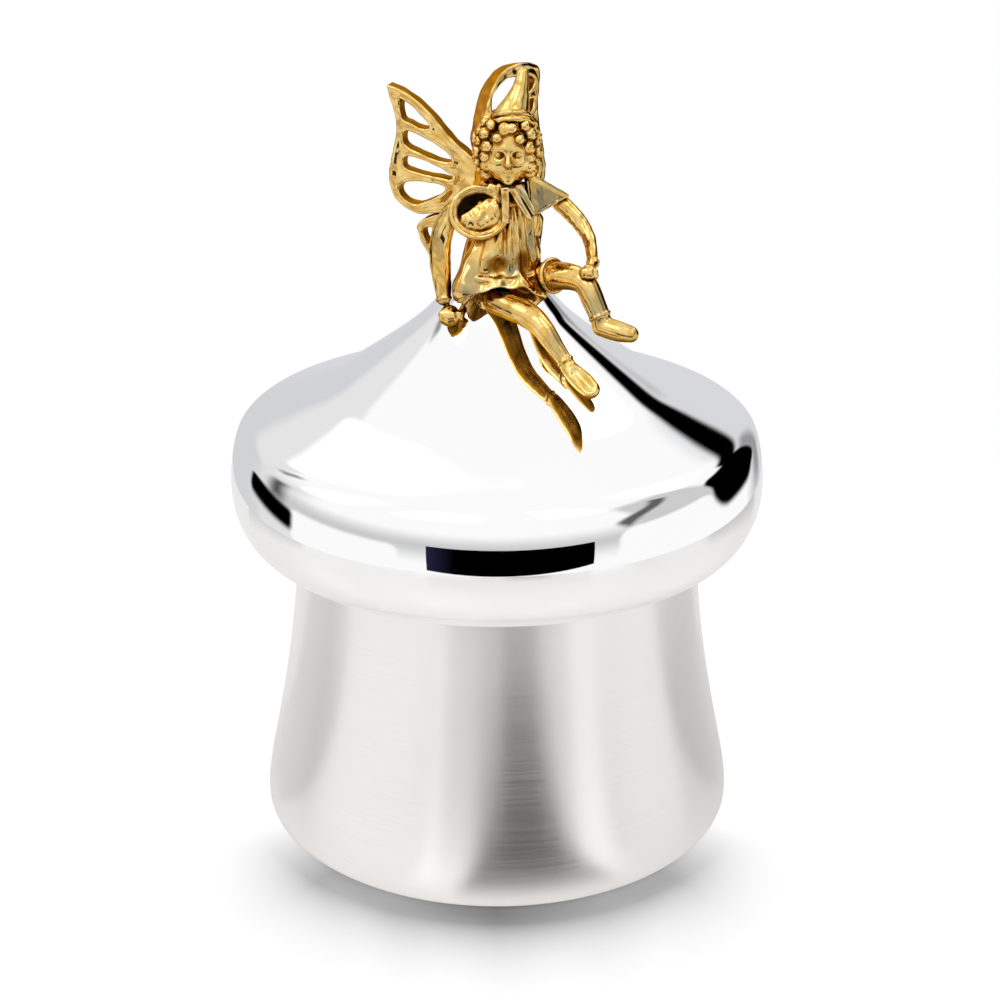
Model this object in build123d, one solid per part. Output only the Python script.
from build123d import *
import math
import os

# Base: a spun cup with a plate, a felt pad and a lining
mouth_height = 28.0
foot_flare = 3.9
base_wall = 0.8
foot_lip_width = 2.4
foot_rounding = 0.9
edge_rounding = 0.2
felt_proud = 0.2
plate_thickness = 0.8
lining_thickness = 0.8
plate_gap = 0.1
felt_gap = 0.3
lining_gap = 0.5
# Wall of the cup: share of its height, then share of the flare from mouth to foot
flare_shares = ((0.065, 0.99), (0.14, 0.9), (0.28, 0.68), (0.5, 0.37), (0.75, 0.115))

# Collar that stands in the mouth and locates the lid
collar_depth = 4.0
collar_rise = 4.5
collar_wall = 0.7
solder_gap = 0.02

# Lid: a hollow cone with a rolled rim
lid_diameter = 50.0
rim_overhang = 5.95
lid_wall = 0.8
rim_middle_height = 5.4
rim_drop = 5.45
rim_rise = 6.8
rim_lower_width = 3.6
rim_upper_width = 2.6
rim_lip_width = 1.0
rim_upper_end = 50.0
peak_height = 25.6
peak_flat_diameter = 3.8
# Cone: share of the lid's radius, then share of the rise from rim middle to peak
cone_shares = (
    (0.931, 0.297), (0.892, 0.32), (0.812, 0.356), (0.732, 0.394), (0.652, 0.436),
    (0.572, 0.502), (0.492, 0.569), (0.412, 0.638), (0.332, 0.71), (0.252, 0.795),
    (0.188, 0.893), (0.128, 0.968),
)

# Ring under the lid: seats on the mouth and slides over the collar
seat_clearance = 0.1
guide_clearance = 0.25
ring_thickness = 0.8
guide_rise = 3.4
guide_wall = 0.7

# Screw that holds the figure
screw_diameter = 2.0
screw_head_diameter = 3.4
screw_head_height = 1.2
screw_slot_width = 0.4
screw_slot_depth = 0.45
screw_grip = 2.4
screw_hole_diameter = 2.3
thread_gap = 0.03
tip_gap = 0.3
washer_thickness = 0.4

# Figure: heights and places are shares of its height from the lid's peak to the hat's tip
figure_height = 18.0
skirt_width = 10.0
skirt_depth = 7.6
waist_width = 6.3
waist_depth = 4.2
chest_width = 7.6
chest_depth = 4.4
neck_width = 2.4
boss_width = 6.4
boss_top_width = 3.4
head_width = 5.0
head_height = 5.7
jaw_width = 4.3
curl_width = 1.7
nose_width = 0.8
brim_width = 3.9
brim_thickness = 1.2
hat_width = 2.9
hat_middle_width = 1.7
hat_tip_width = 0.6
cape_width = 12.4
cape_neck_width = 2.6
cape_fall = 3.4
cape_thickness = 0.6
arm_width = 1.75
elbow_width = 1.6
wrist_width = 1.15
fist_width = 1.7
thigh_width = 2.7
knee_width = 2.5
calf_width = 2.0
ankle_width = 1.5
foot_width = 1.9
toe_width = 1.5
joint_fullness_share = 1.1

# Places on the figure: shares of its height, sideways, forwards (negative) and up
neck_place_share = (-0.045, -0.165, 0.505)
cape_place_share = (-0.035, -0.155, 0.465)
chest_place_share = (-0.03, -0.152, 0.33)
waist_place_share = (-0.03, -0.16, 0.19)
skirt_place_share = (-0.028, -0.15, -0.14)
head_place_share = (-0.061, -0.183, 0.624)
brim_place_share = (-0.034, -0.205, 0.77)
hat_middle_place_share = (-0.011, -0.203, 0.847)
hat_tip_place_share = (0.031, -0.184, 0.995)
right_arm_shares = ((-0.255, -0.13, 0.365), (-0.368, -0.019, 0.12), (-0.332, -0.091, -0.111))
right_fist_share = (-0.324, -0.147, -0.186)
left_arm_shares = ((0.25, -0.185, 0.33), (0.342, -0.326, 0.198), (0.264, -0.486, 0.105))
left_fist_share = (0.229, -0.568, 0.085)
right_leg_shares = ((-0.122, -0.2, -0.07), (-0.067, -0.558, -0.131), (-0.008, -0.649, -0.326))
right_toe_share = (0.088, -0.79, -0.474)
left_leg_shares = ((0.089, -0.22, -0.05), (0.246, -0.546, 0.001), (0.253, -0.621, -0.173))
left_toe_share = (0.322, -0.748, -0.196)
wing_root_share = (-0.043, 0.025, 0.411)
bracket_place_share = (-0.043, -0.018, 0.395)
# Petals of the cape: angle in degrees, then share of its half width
petal_shares = (
    (-17, 0.94), (-42, 0.6), (-62, 0.8), (-76, 0.5), (-90, 0.78), (-106, 0.5), (-140, 0.9),
    (-158, 0.7), (180, 0.94), (150, 0.62), (120, 0.72), (90, 0.45), (60, 0.72), (25, 0.62),
)

# Wings: outlines are shares of the span, outwards and upwards from the root
wing_span = 10.0
wing_thickness = 1.5
right_wing_sweep = 45.0
right_wing_lean = 0.0
left_wing_sweep = 20.0
left_wing_lean = 10.0
bracket_width = 2.4
bracket_height = 3.4
bracket_depth = 2.2
bracket_rounding = 0.3
right_wing_shares = (
    ((0.02, 0.19), (0.13, 0.26), (0.31, 0.41), (0.407, 0.519), (0.512, 0.631), (0.648, 0.744),
     (0.77, 0.81), (0.85, 0.838), (0.895, 0.84)),
    ((0.895, 0.84), (0.872, 0.731), (0.836, 0.616), (0.816, 0.499), (0.826, 0.365), (0.86, 0.245),
     (0.887, 0.123), (0.894, 0.002), (0.868, -0.102), (0.8, -0.204), (0.699, -0.267), (0.589, -0.29),
     (0.479, -0.278), (0.385, -0.262)),
    ((0.385, -0.262), (0.495, -0.3), (0.59, -0.344), (0.638, -0.408), (0.624, -0.484), (0.578, -0.589),
     (0.52, -0.68), (0.475, -0.695), (0.41, -0.58), (0.31, -0.43), (0.18, -0.29), (0.02, -0.18)),
)
right_slot_shares = (
    ((0.772, 0.715), (0.75, 0.72), (0.68, 0.678), (0.59, 0.598), (0.52, 0.52), (0.52, 0.485),
     (0.591, 0.488), (0.683, 0.528), (0.758, 0.568)),
    ((0.739, 0.429), (0.7, 0.45), (0.593, 0.407), (0.47, 0.354), (0.379, 0.297), (0.315, 0.237),
     (0.325, 0.195), (0.441, 0.208), (0.595, 0.266), (0.711, 0.312), (0.746, 0.358)),
    ((0.744, 0.206), (0.7, 0.223), (0.596, 0.207), (0.473, 0.161), (0.381, 0.114), (0.31, 0.07),
     (0.325, 0.04), (0.412, 0.053), (0.567, 0.074), (0.707, 0.111), (0.75, 0.143)),
    ((0.789, -0.052), (0.73, -0.013), (0.631, 0.003), (0.506, -0.005), (0.398, -0.022), (0.368, -0.06),
     (0.446, -0.122), (0.556, -0.174), (0.635, -0.202), (0.728, -0.177), (0.782, -0.12)),
    ((0.576, -0.443), (0.536, -0.409), (0.478, -0.421), (0.47, -0.474), (0.505, -0.55), (0.538, -0.54)),
)
left_wing_shares = (
    ((0.02, 0.19), (-0.035, 0.28), (-0.06, 0.376), (-0.031, 0.487), (0.042, 0.622), (0.113, 0.744),
     (0.217, 0.861), (0.323, 0.928), (0.424, 0.967), (0.545, 0.987), (0.686, 0.98), (0.79, 0.955),
     (0.85, 0.91)),
    ((0.85, 0.91), (0.84, 0.83), (0.775, 0.646), (0.75, 0.454), (0.767, 0.21), (0.76, 0.04),
     (0.7, -0.12), (0.6, -0.23), (0.49, -0.275), (0.385, -0.262)),
    ((0.385, -0.262), (0.495, -0.3), (0.59, -0.344), (0.638, -0.408), (0.624, -0.484), (0.578, -0.589),
     (0.52, -0.68), (0.475, -0.695), (0.41, -0.58), (0.31, -0.43), (0.18, -0.29), (0.02, -0.18)),
)
left_slot_shares = (
    ((0.13, 0.646), (0.157, 0.729), (0.237, 0.805), (0.351, 0.856), (0.471, 0.873), (0.73, 0.845),
     (0.725, 0.76), (0.52, 0.675), (0.29, 0.615), (0.17, 0.605)),
    ((0.685, 0.655), (0.7, 0.6), (0.65, 0.55), (0.45, 0.475), (0.2, 0.42), (0.18, 0.49), (0.43, 0.585)),
    ((0.66, 0.43), (0.68, 0.37), (0.65, 0.31), (0.46, 0.24), (0.26, 0.18), (0.24, 0.25), (0.44, 0.36)),
    ((0.62, 0.16), (0.67, 0.09), (0.63, -0.03), (0.52, -0.14), (0.4, -0.14), (0.32, -0.06),
     (0.4, 0.05), (0.52, 0.13)),
    ((0.576, -0.443), (0.536, -0.409), (0.478, -0.421), (0.47, -0.474), (0.505, -0.55), (0.538, -0.54)),
)

overrun = 5.0

lid_radius = lid_diameter / 2
mouth_radius = lid_radius - rim_overhang
foot_radius = mouth_radius + foot_flare
rim_height = mouth_height + rim_middle_height
peak_top = mouth_height + peak_height
collar_radius = mouth_radius - base_wall - solder_gap
plate_low = felt_proud + base_wall
plate_top = plate_low + plate_thickness
lip_inner_radius = lid_radius - rim_lower_width - rim_lip_width
hole_radius = screw_hole_diameter / 2
upright = (Align.CENTER, Align.CENTER, Align.MIN)


def disc(radius, low, high):
    """Round plate or rod about the main axis, from one height to another."""
    return Pos(0, 0, low) * Cylinder(radius, high - low, align=upright)


def tube(outer_radius, inner_radius, low, high):
    """Straight ring about the main axis."""
    return disc(outer_radius, low, high) - disc(inner_radius, low, high)


def turned(edges):
    """Solid of revolution from an outline of radii and heights."""
    return revolve(Plane.XZ * make_face(edges), axis=Axis.Z)


def main_solid(shape):
    """The largest solid of a cut shape, without loose chips."""
    return max(shape.solids(), key=lambda solid: solid.volume)


def place(share):
    """Point of the figure from shares of its height, counted from the lid's peak."""
    sideways, forwards, up = share
    return Vector(figure_height * sideways, figure_height * forwards, peak_top + figure_height * up)


def cup_wall(inset, low):
    """Curve of the cup's wall from foot to mouth, moved in by the inset."""
    rise = mouth_height - felt_proud
    flare = foot_radius - mouth_radius
    points = [(foot_radius - inset, low)]
    for height_share, flare_share in flare_shares:
        points.append((mouth_radius + flare * flare_share - inset, felt_proud + rise * height_share))
    points.append((mouth_radius - inset, mouth_height))
    return Spline(points)


def make_base_shell():
    """Flared wall with an inward lip at the foot."""
    outer = cup_wall(0, felt_proud)
    inner = cup_wall(base_wall, plate_low)
    lip_radius = foot_radius - foot_lip_width
    outline = [outer, Line(outer @ 1, inner @ 1), inner, Polyline(
        inner @ 0, (lip_radius, plate_low), (lip_radius, felt_proud), outer @ 0)]
    cup = turned(outline)
    rims = cup.edges().filter_by(GeomType.CIRCLE)
    foot_edge = rims.group_by(Axis.Z)[0].sort_by(SortBy.RADIUS)[-1]
    cup = fillet(foot_edge, foot_rounding)
    return fillet(cup.edges().filter_by(GeomType.CIRCLE).group_by(Axis.Z)[-1], edge_rounding)


def make_base_plate():
    """Plate that lies on the foot's lip."""
    return disc(foot_radius - base_wall - plate_gap, plate_low, plate_top)


def make_felt_pad():
    """Felt under the plate, inside the lip."""
    pad = disc(foot_radius - foot_lip_width - felt_gap, 0, plate_low)
    return fillet(pad.edges().group_by(Axis.Z)[0], edge_rounding)


def make_floor_lining():
    """Velvet disc on the plate."""
    lining = disc(foot_radius - base_wall - lining_gap, plate_top, plate_top + lining_thickness)
    return fillet(lining.edges().group_by(Axis.Z)[-1], edge_rounding)


def make_mouth_collar():
    """Ring in the mouth that stands up into the lid."""
    ring = tube(collar_radius, collar_radius - collar_wall,
                mouth_height - collar_depth, mouth_height + collar_rise)
    return fillet(ring.edges().group_by(Axis.Z)[-1], edge_rounding)


def lid_curves(inset):
    """Rim and cone of the lid from lower lip to peak, moved in by the inset."""
    lower = EllipticalCenterArc(
        (lid_radius - rim_lower_width, rim_height), rim_lower_width - inset, rim_drop - inset,
        start_angle=-90, arc_size=90)
    upper = EllipticalCenterArc(
        (lid_radius - rim_upper_width, rim_height), rim_upper_width - inset, rim_rise - inset,
        start_angle=0, arc_size=rim_upper_end)
    rise = peak_top - rim_height
    points = [upper @ 1]
    for radius_share, rise_share in cone_shares:
        points.append((lid_radius * radius_share, rim_height + rise * rise_share - inset))
    points.append((peak_flat_diameter / 2, peak_top - inset))
    cone = Spline(points, tangents=[upper % 1, (-1, 0)], tangent_scalars=[1, 1])
    return [lower, upper, cone, Line(cone @ 1, (0, peak_top - inset))]


def make_lid_body():
    """The lid's outer form, solid down to its lip, for cutting seats."""
    curves = lid_curves(0)
    foot = curves[0] @ 0
    return turned(curves + [Polyline(curves[-1] @ 1, (0, foot.Y), foot)])


def make_lid_shell():
    """Hollow cone with a rolled rim and an inward lip."""
    outer = lid_curves(0)
    inner = lid_curves(lid_wall)
    low = outer[0] @ 0
    high = inner[0] @ 0
    lip = Polyline(high, (lip_inner_radius, high.Y), (lip_inner_radius, low.Y), low)
    shell = turned(outer + [Line(outer[-1] @ 1, inner[-1] @ 1)] + inner + [lip])
    return main_solid(shell - disc(hole_radius, rim_height, peak_top + overrun))


def make_lid_under_ring():
    """Flat ring in the lid's lip with an upstand that slides on the collar."""
    low = mouth_height + seat_clearance
    inner_radius = collar_radius + guide_clearance
    flat = tube(lip_inner_radius - solder_gap, inner_radius, low, low + ring_thickness)
    upstand = tube(inner_radius + guide_wall, inner_radius, low, low + ring_thickness + guide_rise)
    return main_solid(flat + upstand)


def make_screw_washer():
    """Washer on the flat inside the lid's peak."""
    top = peak_top - lid_wall
    return tube(peak_flat_diameter / 2, hole_radius, top - washer_thickness, top)


def make_figure_screw():
    """Slotted pan-head screw, entered from inside the lid."""
    head_top = peak_top - lid_wall - washer_thickness
    head_low = head_top - screw_head_height
    head = disc(screw_head_diameter / 2, head_low, head_top)
    head = fillet(head.edges().group_by(Axis.Z)[0], screw_head_height / 3)
    shank = disc(screw_diameter / 2, head_top, peak_top + screw_grip)
    shank = chamfer(shank.edges().group_by(Axis.Z)[-1], screw_diameter / 8)
    slot = Pos(0, 0, head_low) * Box(
        screw_head_diameter + overrun, screw_slot_width, screw_slot_depth * 2)
    return main_solid(head + shank - slot)


def oval(share, width, depth):
    """Level ellipse of the figure's body at one place."""
    return Plane(place(share)) * Ellipse(width / 2, depth / 2)


def make_figure_body(lid_body):
    """Tunic, skirt and screw boss, seated on the cone."""
    tunic = loft([
        oval(skirt_place_share, skirt_width, skirt_depth),
        oval(waist_place_share, waist_width, waist_depth),
        oval(chest_place_share, chest_width, chest_depth),
        oval(neck_place_share, neck_width, neck_width),
    ])
    boss_rise = screw_grip + tip_gap + lid_wall
    boss = Pos(0, 0, peak_top - boss_rise) * Cone(
        boss_width / 2, boss_top_width / 2, boss_rise * 2, align=upright)
    bore = disc(screw_diameter / 2 + thread_gap, rim_height, peak_top + screw_grip + tip_gap)
    return main_solid(tunic + boss - lid_body - bore)


def limb(start, end, start_width, middle_width, end_width):
    """Round limb that swells or tapers between two points."""
    length = (end - start).length
    side = Spline((start_width / 2, 0), (middle_width / 2, length / 2), (end_width / 2, length))
    outline = [Line((0, 0), side @ 0), side, Line(side @ 1, (0, length)), Line((0, length), (0, 0))]
    return Plane(start, z_dir=end - start) * turned(outline)


def ball(point, width):
    """Rounded joint or fist."""
    return Pos(point) * Sphere(width / 2)


def side_ball(point, width):
    """Round form of the head, with its poles to the sides, clear of the curls."""
    return Pos(point) * Rot(0, 90, 0) * Sphere(width / 2)


def make_figure_head(body):
    """Head with a ring of curls and a small nose, on the neck."""
    centre = place(head_place_share)
    cranium = side_ball(centre + Vector(0, 0, (head_height - head_width) / 2), head_width)
    jaw = side_ball(centre - Vector(0, 0, (head_height - jaw_width) / 2), jaw_width)
    nose = side_ball(centre + Vector(0, -head_width / 2, 0), nose_width)
    head = cranium + jaw + nose
    for angle in (-25, 5, 35, 65, 115, 145, 175, 205):
        reach = head_width / 2
        curl = Vector(reach * math.cos(math.radians(angle)), reach * math.sin(math.radians(angle)),
                      head_height * 0.1 * math.cos(math.radians(angle * 6)))
        head = head + side_ball(centre + curl, curl_width)
    return main_solid(head - body)


def make_figure_hat(head):
    """Pointed hat with a thick folded brim."""
    brim_centre = place(brim_place_share)
    brim = Pos(brim_centre) * Cylinder(brim_width / 2, brim_thickness)
    brim = fillet(brim.edges().filter_by(GeomType.CIRCLE), brim_thickness / 3)
    middle = place(hat_middle_place_share)
    tip = place(hat_tip_place_share)
    cone = loft([
        Plane(brim_centre) * Circle(hat_width / 2),
        Plane(middle) * Circle(hat_middle_width / 2),
        Plane(tip) * Circle(hat_tip_width / 2),
    ])
    return main_solid(brim + cone + ball(tip, hat_tip_width * joint_fullness_share) - head)


def make_figure_collar(cutters):
    """Cape collar: a cone shell cut to petals."""
    top = place(cape_place_share)
    half = cape_width / 2
    low = top - Vector(0, 0, cape_fall)
    cone = Cone(half, cape_neck_width / 2, cape_fall, align=upright)
    shell = Pos(low) * cone - Pos(low - Vector(0, 0, cape_thickness)) * cone
    outline = []
    for angle, share in petal_shares:
        outline.append((half * share * math.cos(math.radians(angle)),
                        half * share * math.sin(math.radians(angle))))
    petals = extrude(Plane(low) * make_face(Polyline(outline, close=True)),
                     amount=cape_fall + cape_thickness, both=True)
    collar = shell & petals
    for cutter in cutters:
        collar = collar - cutter
    return main_solid(collar)


def make_arm(shares, fist_share, cutters):
    """Upper arm, forearm and fist, cut to what they touch."""
    shoulder, elbow, wrist = [place(share) for share in shares]
    fist = place(fist_share)
    arm = limb(shoulder, elbow, arm_width, arm_width, elbow_width)
    arm = arm + ball(elbow, elbow_width * joint_fullness_share)
    arm = arm + limb(elbow, wrist, elbow_width, elbow_width, wrist_width)
    arm = arm + limb(wrist, fist, wrist_width, wrist_width, wrist_width) + ball(fist, fist_width)
    arm = arm + ball(shoulder, arm_width * joint_fullness_share)
    for cutter in cutters:
        arm = arm - cutter
    return main_solid(arm)


def make_leg(shares, toe_share, cutters):
    """Thigh, shin and foot, cut to what they touch."""
    hip, knee, ankle = [place(share) for share in shares]
    toe = place(toe_share)
    leg = limb(hip, knee, thigh_width, thigh_width, knee_width)
    leg = leg + ball(knee, knee_width * joint_fullness_share)
    leg = leg + limb(knee, ankle, knee_width, calf_width, ankle_width)
    leg = leg + ball(ankle, foot_width)
    leg = leg + limb(ankle, toe, ankle_width, foot_width, toe_width)
    leg = leg + ball(toe, toe_width * joint_fullness_share)
    for cutter in cutters:
        leg = leg - cutter
    return main_solid(leg)


def make_wing(side, sweep_angle, lean_angle, edge_shares, slot_shares, cutters):
    """Pierced plate that sweeps and leans back from its root."""
    sweep = math.radians(sweep_angle)
    lean = math.radians(lean_angle)
    outwards = Vector(side * math.cos(sweep), math.sin(sweep), 0)
    backwards = Vector(-side * math.sin(sweep), math.cos(sweep), 0)
    upwards = backwards * math.sin(lean) + Vector(0, 0, math.cos(lean))
    plane = Plane(place(wing_root_share), x_dir=outwards, z_dir=outwards.cross(upwards))
    edges = []
    for run in edge_shares:
        edges.append(Spline([(wing_span * out, wing_span * up) for out, up in run]))
    edges.append(Line(edges[-1] @ 1, edges[0] @ 0))
    face = make_face(edges)
    for slot in slot_shares:
        ring = Spline([(wing_span * out, wing_span * up) for out, up in slot], periodic=True)
        face = face - make_face(ring)
    wing = extrude(plane * face, amount=wing_thickness / 2, both=True)
    for cutter in cutters:
        wing = wing - cutter
    return main_solid(wing)


def make_wing_bracket(body):
    """Pad on the back that carries both wings."""
    pad = Pos(place(bracket_place_share)) * Box(bracket_width, bracket_depth, bracket_height)
    pad = fillet(pad.edges(), bracket_rounding)
    return main_solid(pad - body)


lid_body = make_lid_body()
figure_body = make_figure_body(lid_body)
figure_head = make_figure_head(figure_body)
wing_bracket = make_wing_bracket(figure_body)
figure_collar = make_figure_collar((figure_body, figure_head, wing_bracket))
right_leg = make_leg(right_leg_shares, right_toe_share, (lid_body, figure_body))
left_leg = make_leg(left_leg_shares, left_toe_share, (lid_body, figure_body))
right_arm = make_arm(right_arm_shares, right_fist_share, (lid_body, figure_body, figure_collar))
left_arm = make_arm(left_arm_shares, left_fist_share, (left_leg, figure_body, figure_collar))
right_wing = make_wing(-1, right_wing_sweep, right_wing_lean, right_wing_shares, right_slot_shares,
                       (wing_bracket, figure_collar))
left_wing = make_wing(1, left_wing_sweep, left_wing_lean, left_wing_shares, left_slot_shares,
                      (wing_bracket, figure_collar, right_wing))

nodes = {
    "base_shell": make_base_shell(),
    "base_plate": make_base_plate(),
    "felt_pad": make_felt_pad(),
    "floor_lining": make_floor_lining(),
    "mouth_collar": make_mouth_collar(),
    "lid_shell": make_lid_shell(),
    "lid_under_ring": make_lid_under_ring(),
    "screw_washer": make_screw_washer(),
    "figure_screw": make_figure_screw(),
    "figure_body": figure_body,
    "figure_head": figure_head,
    "figure_hat": make_figure_hat(figure_head),
    "figure_collar": figure_collar,
    "right_arm": right_arm,
    "left_arm": left_arm,
    "right_leg": right_leg,
    "left_leg": left_leg,
    "wing_bracket": wing_bracket,
    "right_wing": right_wing,
    "left_wing": left_wing,
}

os.makedirs("parts", exist_ok=True)
for name, solid in nodes.items():
    export_step(solid, f"parts/{name}.step")
    print(name, solid.is_valid, round(solid.volume, 1))
